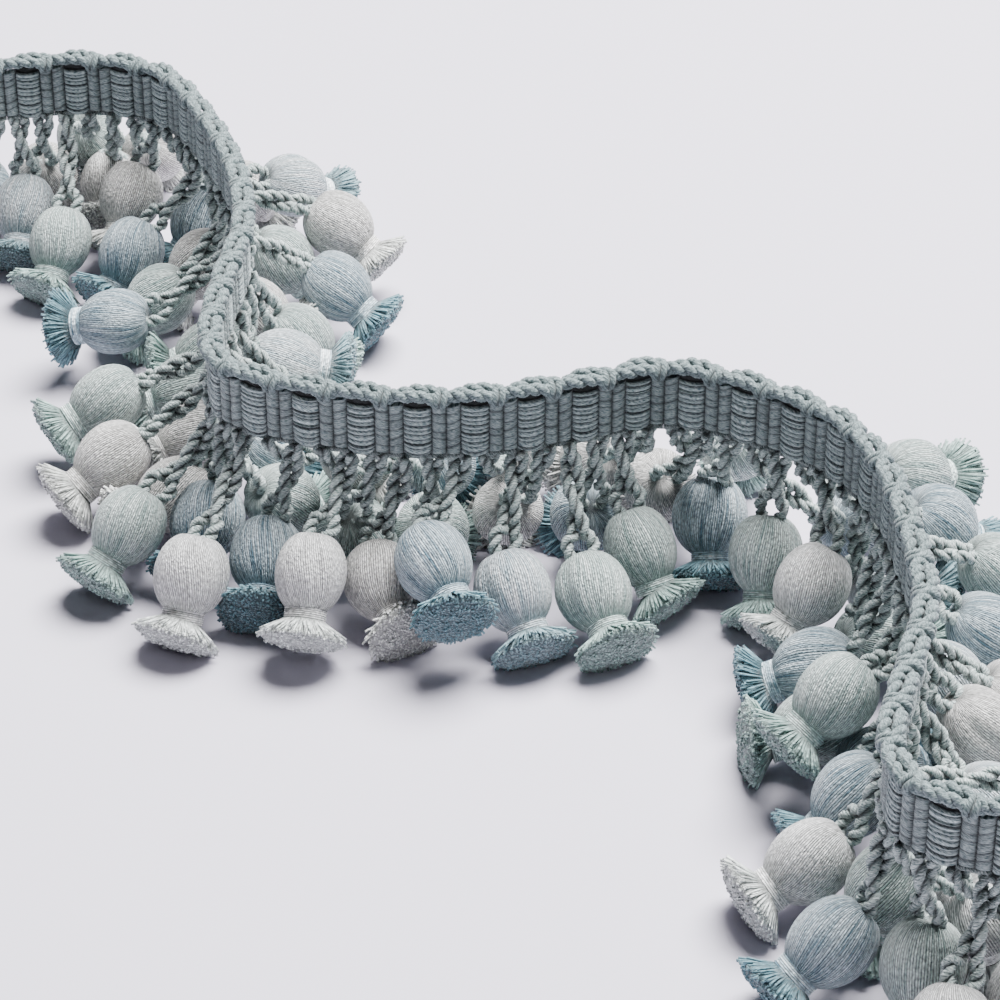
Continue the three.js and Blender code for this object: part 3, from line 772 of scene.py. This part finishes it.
# Crowded tassels push each other apart until they only touch
def settleTassels(tassels):
    root = np.array([t["root"] for t in tassels])
    axis = np.array([t["axis"] for t in tassels])
    ball = np.array([t["ball"] for t in tassels])
    yields = np.array([t["yields"] for t in tassels])[:, None]
    home = ball.copy()
    bend = root - hanging["loopDrop"] * up
    radii = np.array([r for _, r in hanging["bodySpheres"] + hanging["loopSpheres"]])
    shares = np.array([1.0 for _ in hanging["bodySpheres"]] + [s for s, _ in hanging["loopSpheres"]])
    count = len(radii)
    allRadii = np.tile(radii, len(tassels))
    owner = np.repeat(np.arange(len(tassels)), count)
    others = owner[:, None] != owner[None]
    rimRadius, rimAlong, rimDeepest = hanging["rim"]
    rimDepth = rimAlong * axis[:, 2] - rimRadius * np.hypot(axis[:, 0], axis[:, 1])
    lowest = np.maximum(hanging["lowestLift"], rimDeepest - rimDepth)
    for step in range(hanging["rounds"]):
        pole = ball + hanging["ballTop"] * axis
        spots = [ball + a * axis for a, _ in hanging["bodySpheres"]]
        spots += [fallPoint(s, root, bend, pole) for s, _ in hanging["loopSpheres"]]
        spheres = np.stack(spots, axis=1).reshape(-1, 3)
        squares = np.sum(spheres ** 2, axis=1)
        gap = np.sqrt(np.maximum(squares[:, None] + squares[None] - 2 * spheres @ spheres.T, 1e-9))
        short = np.where(others, np.maximum(allRadii[:, None] + allRadii[None] - gap, 0), 0)
        pull = short * hanging["push"] / gap
        away = pull.sum(axis=1)[:, None] * spheres - pull @ spheres
        moves = (away.reshape(-1, count, 3) * shares[:, None]).sum(axis=1)
        size = np.linalg.norm(moves, axis=1, keepdims=True)
        ball = ball + moves / np.maximum(size, 1) * yields
        ball = ball + (home - ball) * hanging["home"] * (1 - step / hanging["rounds"])
        ball = ball - hanging["sag"] * yields * up
        reach = ball + hanging["ballTop"] * axis - root
        length = np.linalg.norm(reach, axis=1, keepdims=True)
        ball = ball + reach * (np.clip(length, *hanging["loopReach"]) - length) / length
        ball[:, 2] = np.clip(ball[:, 2], lowest, hanging["highestLift"])
    for tassel, spot in zip(tassels, ball):
        tassel["ball"] = spot


tassels = hangTassels()
settleTassels(tassels)
print("tassels settled")

# Loop of a tassel: two plied legs twisted around each other, opening into an eye at the ball
loop = {
    "legApart": 1.22,  # half of the distance between the legs
    "twistLength": -24.0,  # one turn of the legs; minus leans the front leg down to the right
    "turnChance": 0.35,  # spread of the eye's turn, in radians
    "eyeLong": 5.8,
    "eyeMost": 0.45,  # share of the loop
    "eyeHalf": 1.95,
    "eyeSquare": 0.8,  # below 1 the eye is fuller than round
    "sunk": 1.3,
    "fallRows": 90,
    "twistRows": 30,
    "eyeRows": 15,
    "plies": 2,
    "uneven": 0.2,
    "layLength": 5.2,  # one turn of a ply, leaning against the legs' turn
    "layRadius": 0.64,
    "plyRadius": 0.83,
    "sides": 6,
    # Painted shade in the grooves between plies, and between the two legs
    "plyPaintedShade": (0.12, 0.6, 1.25),  # by distance from the leg's middle
    "pairPaintedShade": (0.5, 0.5, 2.0),  # by distance from the loop's middle
    "shades": (0.93, 1.07),  # darkest and lightest loop
}
# Strip at the heading's foot that a pair of loops leaves
strip = {
    "rise": 0.7,
    "thick": 0.7,
    "high": 0.6,
    "knobby": 0.12,
    # Painted shade: the strip is half as light, as it lies in shadow under the heading
    "light": 0.5,
    "gap": 0.04,
    "rows": 9,
    "sides": 10,
}


def loopPart(tassel):
    root = tassel["root"] + strip["rise"] * up
    bend = root - hanging["loopDrop"] * up
    end = tassel["ball"] + (hanging["ballTop"] + loop["sunk"]) * tassel["axis"]
    fall = fallPoint(np.linspace(0, 1, loop["fallRows"])[:, None], root, bend, end)
    fallWalked = walked(fall[None])[0]
    total = fallWalked[-1]
    eyeLong = min(loop["eyeLong"], total * loop["eyeMost"])
    opening = np.linspace(0, math.pi, loop["eyeRows"] + 1)[1:]
    straight = np.linspace(0, total - eyeLong, loop["twistRows"])
    length = np.concatenate([straight, total - eyeLong + eyeLong * (1 - np.cos(opening)) / 2])
    closing = loop["legApart"] * np.cos(opening / 2) ** 2
    eye = loop["eyeHalf"] * np.sin(opening) ** loop["eyeSquare"]
    apart = np.concatenate([np.full(len(straight), loop["legApart"]), closing + eye])
    apart[-1] = 0
    middle = np.column_stack([np.interp(length, fallWalked, fall[:, k]) for k in range(3)])
    ways = np.gradient(fall, axis=0)
    way = unit(np.column_stack([np.interp(length, fallWalked, ways[:, k]) for k in range(3)]))
    across = np.cross(bend - root, end - bend)
    if np.linalg.norm(across) < 1e-3:
        across = tassel["along"]
    across = unit(across)
    side = unit(np.cross(across, way))
    lateral = tassel["along"] - way[-1] * np.dot(tassel["along"], way[-1])
    endTurn = math.atan2(np.dot(lateral, across), np.dot(lateral, side[-1]))
    endTurn = endTurn + dice.normal() * loop["turnChance"]
    turn = endTurn + np.minimum(length - (total - eyeLong), 0) * fullTurn / loop["twistLength"]
    wide = spokes(turn, side, across)
    thick = np.cross(way, wide)
    legs = [middle + apart[:, None] * wide, middle - apart[:, None] * wide]
    line = np.concatenate([legs[0], legs[1][-2::-1]])
    aside = np.concatenate([thick, thick[-2::-1]])
    rings, uv = layPlies(line, aside, loop, dice.uniform(0, fullTurn))
    # Painted shade between the plies and between the legs, times a random lightness for each loop
    fromLeg = np.linalg.norm(rings - line[None, :, None], axis=-1)
    fromMiddle = np.linalg.norm(rings - np.concatenate([middle, middle[-2::-1]])[None, :, None], axis=-1)
    paintedShadeAndTone = clearing(*loop["plyPaintedShade"], fromLeg) * clearing(*loop["pairPaintedShade"], fromMiddle)
    paintedShadeAndTone = paintedShadeAndTone * dice.uniform(*loop["shades"])
    return tubeFaces(rings, uv, paintedShadeAndTone, slot=1)


def stripPart(index):
    ends = index * pitch + strip["gap"] / 2, (index + 1) * pitch - strip["gap"] / 2
    lengths = np.linspace(*ends, strip["rows"])
    at, _, front = station(lengths)
    turn = np.arange(strip["sides"]) * fullTurn / strip["sides"]
    knobby = 1 + strip["knobby"] * np.cos(np.arange(strip["rows"]) * math.pi)
    out = -np.cos(turn)[None, :, None] * front[:, None] * strip["thick"] * knobby[:, None, None]
    rise = np.sin(turn)[None, :, None] * up * strip["high"]
    points = at[:, None] + (hanging["rootHeight"] + strip["rise"]) * up + out + rise
    around = np.linspace(0, 1, strip["sides"] + 1)
    uv = yarnUv(points.shape[:1], strip["sides"], around, lengths[:, None])
    # Dimmed by painted shade, as it lies in the heading's shadow
    return tubeFaces(points[None], uv[None], strip["light"], slot=1)


# Ball wound from pole to pole, its bound neck, and the cut skirt
ballShape = {
    "radius": 7.6,
    "girth": (0.965, 1.035),  # least and most share of that radius
    "square": 0.94,  # below 1 the ball is fuller than round
    "topLong": 8.5,
    "bottomLong": 9.0,
    "dimple": 1.2,  # depth and width at the top
    "dimpleWide": 2.3,
    "dimpleRise": 1,  # radians from the pole, where it ends
    "columns": 48,
    "rows": 17,
    "fromPole": 9,  # degrees
    "toNeck": 150,
    "slant": (0.1, 0.35),  # least and most turn of the threads over slantLong, in radians
    "slantLong": 8,
    "bundles": 0.03,  # how far bundles of threads stand out
    "bundleBlend": 0.5,  # share of that which the next thread takes up
    "lumps": (0.12, 0.1),  # two around the ball, and three that wind down it
    "creaseShare": 0.25,  # share of the balls with a crease
    "creaseDeep": 0.8,
    "creaseWide": 0.15,  # radians
    # Painted shade: the ball darker at its top pole, in the dimple
    "polePaintedShade": (0.55, 0.08, 0.4),  # least lightness at the poles, and where it clears
    "clear": 0.05,  # kept above the table
}
neck = {
    "from": 7.5,
    "to": 10.0,
    "radius": 4.05,
    "turns": 6,
    "swell": 0.28,  # how far a turn of the thread stands out
    # Painted shade between the turns of the thread, and painted light on them
    "light": (0.9, 1.32),  # between the turns, and on them
    "mapLong": 20,  # length of one turn in the map
    "rows": 19,
    "columns": 20,
}
skirt = {
    "pivot": 9.4,  # along the ball's axis; the skirt may lean from there
    "leans": 0.096,
    "rimAlong": 4,  # past the pivot
    "rimRadius": 8.4,
    "bendEase": 12,  # depth of the rim under the table for a whole unit of bend up
    "bendMost": 0.28,
    "splay": (0.5, 0.35),  # how far yarn on the table slides out from the skirt's middle, and along it
    "clear": 0.25,
    # Painted shade: the brush darker towards the neck and the middle of its cut face
    "body": (  # radius, along, lightness, share of cut end
        (3.9, 9.5, 0.6, 0.5), (4.7, 10.4, 0.75, 0.5), (6.1, 11.6, 0.9, 0.5), (7.5, 12.7, 1.0, 0.5),
        (8.2, 13.4, 1.0, 1.0), (7.8, 14.1, 0.95, 1.0), (6.2, 14.8, 0.9, 1.0), (3.6, 15.2, 0.85, 1.0),
        (1.2, 15.3, 0.85, 1.0)),
    "bodyLight": 0.85,
    "columns": 36,
    "ragged": 0.14,
    "raggedFrom": (3.4, 8.0),  # radius where the body is smooth, and where it is most ragged
    "strandRadius": 0.26,
    "strandSides": 3,
    "strandLift": 1.1,  # lowest middle of a strand over the table, for each unit of its radius
    "strandClear": 0.02,
    "rimStrands": 130,
    "rimUneven": 0.4,  # how far a strand strays from its place, as a share of their spacing
    "root": (4.2, 10.0),  # radius, along
    "reach": (7.8, 9.3),  # least and most radius at the cut rim
    "cut": (12.4, 14.3),
    "stray": 0.05,  # radians
    # Painted shade: strands darker at their roots by the neck
    "rimPaintedShade": (0.65, 0.9, 1.05),  # of a strand's root, middle and end
    "rimShades": (0.85, 1.12),  # darkest and lightest strand
    "endStrands": 220,
    "endWithin": 8.2,
    "endOut": (0.05, 0.5),  # how far the ends stand out of the body
    "endLong": 1.3,
    "endFlare": (0.9, 1.02),  # share of the radius at a strand's foot and end
    # Painted shade at a cut end's foot, deep in the brush, and lighter at its tip
    "paintedEndShading": {  # of a strand's foot and end
        "white": (0.42, 0.98), "cream": (0.42, 0.98), "sage": (0.36, 0.92), "pale": (0.26, 0.86),
        "blue": (0.27, 0.88)},
    "endShades": (0.62, 1.18),
}


def aboveTable(points, lowest):
    points[..., 2] = np.maximum(points[..., 2], lowest)
    return points


def ballParts(tassel, number):
    axis = tassel["axis"]
    east = unit(np.cross(up, axis))
    north = np.cross(axis, east)
    columns = ballShape["columns"]
    rise = np.radians(np.linspace(ballShape["fromPole"], ballShape["toNeck"], ballShape["rows"]))
    girth = ballShape["radius"] * dice.uniform(*ballShape["girth"])
    radius = girth * np.sin(rise) ** ballShape["square"]
    reach = np.where(rise < math.pi / 2, ballShape["topLong"], ballShape["bottomLong"])
    along = -reach * np.cos(rise)
    inDimple = rise < ballShape["dimpleRise"]
    along = along + ballShape["dimple"] * np.exp(-(radius / ballShape["dimpleWide"]) ** 2) * inDimple
    turn = np.arange(columns) * fullTurn / columns
    slant = dice.choice([-1, 1]) * dice.uniform(*ballShape["slant"])
    angle = turn[None] + slant * along[:, None] / ballShape["slantLong"]
    bundles = dice.normal(size=columns) * ballShape["bundles"]
    bundles = bundles + ballShape["bundleBlend"] * np.roll(bundles, 1)
    lumps = ballShape["lumps"][0] * np.sin(2 * angle + dice.uniform(0, fullTurn))
    lumps = lumps + ballShape["lumps"][1] * np.sin(3 * angle + rise[:, None] * 2)
    swell = np.sin(rise)[:, None]
    out = radius[:, None] + swell * (bundles[None] + lumps)
    if dice.random() < ballShape["creaseShare"]:
        gap = np.angle(np.exp(1j * (turn - dice.uniform(0, fullTurn))))
        crease = np.exp(-(gap / ballShape["creaseWide"]) ** 2)
        out = out - ballShape["creaseDeep"] * crease[None] * swell ** 2
    points = tassel["ball"] + along[:, None, None] * axis
    points = points + out[..., None] * spokes(angle, east, north)
    around = number + np.linspace(0, 1, columns + 1)
    uv = yarnUv(points.shape[:1], columns, around, along[:, None])
    # Painted shade: the ball darker at its top pole, in the dimple
    paintedShadeAndTone = clearing(*ballShape["polePaintedShade"], swell)
    ball = tubeFaces(aboveTable(points, ballShape["clear"])[None], uv[None], paintedShadeAndTone)

    # Thread bound around the neck, its map turned so that each turn is a thread
    step = np.linspace(0, 1, neck["rows"])
    crown = np.abs(np.sin(step * math.pi * neck["turns"]))
    bound = neck["radius"] + neck["swell"] * crown
    turn = np.arange(neck["columns"]) * fullTurn / neck["columns"]
    high = neck["from"] + (neck["to"] - neck["from"]) * step
    points = tassel["ball"] + high[:, None, None] * axis + bound[:, None, None] * spokes(turn, east, north)
    thread = np.floor(step * neck["turns"] + slack) + 0.5
    around = number + (thread / ballYarn["threads"])[:, None]
    mapAlong = np.linspace(0, neck["mapLong"], neck["columns"] + 1)
    uv = yarnUv(points.shape[:1], neck["columns"], around, mapAlong)
    # Painted shade between the turns of the thread, and painted light on their crowns
    paintedShadeAndTone = np.interp(crown, (0, 1), neck["light"])[:, None]
    binding = tubeFaces(aboveTable(points, ballShape["clear"])[None], uv[None], paintedShadeAndTone)
    return [ball, binding]


def skirtParts(tassel, number):
    ballAxis = tassel["axis"]
    base = tassel["ball"] + skirt["pivot"] * ballAxis
    level = math.hypot(ballAxis[0], ballAxis[1])
    rimLow = base[2] + skirt["rimAlong"] * ballAxis[2] - skirt["rimRadius"] * level
    bentUp = min(max(-rimLow / skirt["bendEase"], 0), skirt["bendMost"])  # the table bends the skirt up
    axis = unit(ballAxis + up * bentUp + dice.normal(size=3) * skirt["leans"])
    east = unit(np.cross(up, axis))
    north = np.cross(axis, east)
    outward = axis[:2] / max(np.hypot(axis[0], axis[1]), 0.2)  # short where the skirt points down

    # Points of the skirt, splayed out where they would go under the table
    def spread(angle, radius, along, lowest):
        spoke = spokes(angle, east, north)
        points = base + (along - skirt["pivot"])[..., None] * axis + radius[..., None] * spoke
        under = np.maximum(lowest - points[..., 2], 0)
        points[..., 2] += under
        slide = spoke[..., :2] * skirt["splay"][0] + outward * skirt["splay"][1]
        points[..., :2] += slide * under[..., None]
        return points

    # Single yarns, each on the middle of a thread of the map
    def strands(angle, radius, along):
        lines = spread(angle, radius, along, skirt["strandRadius"] * skirt["strandLift"])
        aside = spokes(angle, north, -east)
        rings = ringsAround(lines, aside, skirt["strandRadius"], skirt["strandSides"])
        thread = (dice.integers(0, ballYarn["threads"], len(lines)) + 0.5) / ballYarn["threads"]
        around = number + thread[:, None, None]
        uv = yarnUv(rings.shape[:2], skirt["strandSides"], around, along[..., None])
        return aboveTable(rings, skirt["strandClear"]), uv

    body = np.array(skirt["body"])
    columns = skirt["columns"]
    turn = np.arange(columns) * fullTurn / columns
    ragged = skirt["ragged"] * smooth(*skirt["raggedFrom"], body[:, 0])[:, None]
    rough = dice.normal(size=(len(body), columns)) * ragged
    radius = body[:, 0][:, None] + rough
    along = body[:, 1][:, None] + dice.normal(size=rough.shape) * 0.5 * skirt["ragged"]
    points = spread(np.broadcast_to(turn, rough.shape), radius, along, skirt["clear"])
    around = number + np.linspace(0, 1, columns + 1)
    uv = yarnUv(points.shape[:1], columns, around, body[:, 1][:, None])
    # Painted shade: the brush darker towards the neck and the middle of its cut face
    paintedShadeAndTone = body[:, 2][:, None] * skirt["bodyLight"]
    brush = tubeFaces(points[None], uv[None], paintedShadeAndTone, skirt=np.repeat(body[:, 3], columns))

    # Yarns fanned out along the rim
    count = skirt["rimStrands"]
    uneven = dice.uniform(-skirt["rimUneven"], skirt["rimUneven"], count)
    start = (np.arange(count) + uneven) * fullTurn / count
    wide = dice.uniform(*skirt["reach"], count)
    long = dice.uniform(*skirt["cut"], count)
    share = np.array([0.0, 0.5, 1.0])
    angle = start[:, None] + share * dice.normal(size=(count, 1)) * skirt["stray"]
    radius = skirt["root"][0] + (wide[:, None] - skirt["root"][0]) * share
    along = skirt["root"][1] + (long[:, None] - skirt["root"][1]) * share
    rings, uv = strands(angle, radius, along)
    # Painted shade: strands darker at their roots by the neck, times a random lightness for each
    paintedShadeAndTone = np.array(skirt["rimPaintedShade"])[None, :, None] * dice.uniform(*skirt["rimShades"], (count, 1, 1))
    rim = tubeFaces(rings, uv, paintedShadeAndTone, skirt=cutSide)

    # Short ends standing out of the cut face, from its middle to its rim
    count = skirt["endStrands"]
    start = dice.uniform(0, fullTurn, count)
    wide = skirt["endWithin"] * np.sqrt(dice.uniform(0, 1, count))
    face = body[body[:, 3] == 1][::-1]
    long = np.interp(wide, face[:, 0], face[:, 1]) + dice.uniform(*skirt["endOut"], count)
    angle = np.repeat(start[:, None], 2, axis=1)
    radius = wide[:, None] * skirt["endFlare"]
    along = np.column_stack([long - skirt["endLong"], long])
    rings, uv = strands(angle, radius, along)
    # Painted shade at each end's foot, deep in the brush, and lighter at its tip
    paintedEndShading = np.array(skirt["paintedEndShading"][tassel["shade"]])
    paintedShadeAndTone = paintedEndShading[None, :, None] * dice.uniform(*skirt["endShades"], (count, 1, 1))
    ends = tubeFaces(rings, uv, paintedShadeAndTone, skirt=cutSide)
    return [brush, rim, ends]


for number, tassel in enumerate(tassels):
    parts = ballParts(tassel, number) + skirtParts(tassel, number) + [loopPart(tassel)]
    if tassel["side"] == "front":
        parts.append(stripPart(tassel["index"]))
    piece = makePiece(tassel["name"], parts, [shadeMaterials[tassel["shade"]], loopMaterial])
    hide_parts(tassel["node"])
print("tassels tied:", len(tassels))

# Table: pale paper, even and matte, faintly mottled
table = {"half": 3.0, "colour": "#d5d1de", "mottle": "#d1cddb", "roughness": 0.8, "specular": 0.2}
tableMaterial = bpy.data.materials.new("pale paper table")
tableMaterial.use_nodes = True
tableTree = tableMaterial.node_tree
tablePlace = addNode(tableTree, "ShaderNodeTexCoord").outputs["Object"]
tableGrain = addNode(tableTree, "ShaderNodeTexNoise", {0: tablePlace, "Scale": 6.0, "Detail": 3.0})
tableTint = addNode(tableTree, "ShaderNodeMix", {
    0: tableGrain, 6: linear(table["colour"]), 7: linear(table["mottle"])}, data_type="RGBA")
tableShader = tableTree.nodes["Principled BSDF"]
tableTree.links.new(tableTint.outputs[2], tableShader.inputs["Base Color"])
tableShader.inputs["Roughness"].default_value = table["roughness"]
tableShader.inputs["Specular IOR Level"].default_value = table["specular"]
bpy.ops.mesh.primitive_plane_add(size=table["half"] * 2, location=(0, 0, 0))
floor = bpy.context.object
floor.name = "table_top"
floor.data.materials.append(tableMaterial)

# Light: one large soft box above and behind to the right, a weak fill from the front, and a pale room
lamps = [  # name, place, width, watts
    ("soft_box", (0.32, 0.4, 1.3), 1.1, 108.0),
    ("front_fill", (0.7, -1.0, 0.9), 0.7, 1.0),
]
for lampName, place, size, power in lamps:
    lamp = bpy.data.objects.new(lampName, bpy.data.lights.new(lampName, "AREA"))
    lamp.data.shape = "DISK"
    lamp.data.size = size
    lamp.data.energy = power
    lamp.location = place
    lamp.rotation_euler = (-Vector(place)).to_track_quat("-Z", "Y").to_euler()
    bpy.context.collection.objects.link(lamp)
roomLight = {"colour": "#eeedf4", "strength": 0.06}
room = bpy.data.worlds.new("pale room")
room.use_nodes = True
roomShader = room.node_tree.nodes["Background"]
roomShader.inputs["Color"].default_value = linear(roomLight["colour"])
roomShader.inputs["Strength"].default_value = roomLight["strength"]
bpy.context.scene.world = room
print("table and light set")
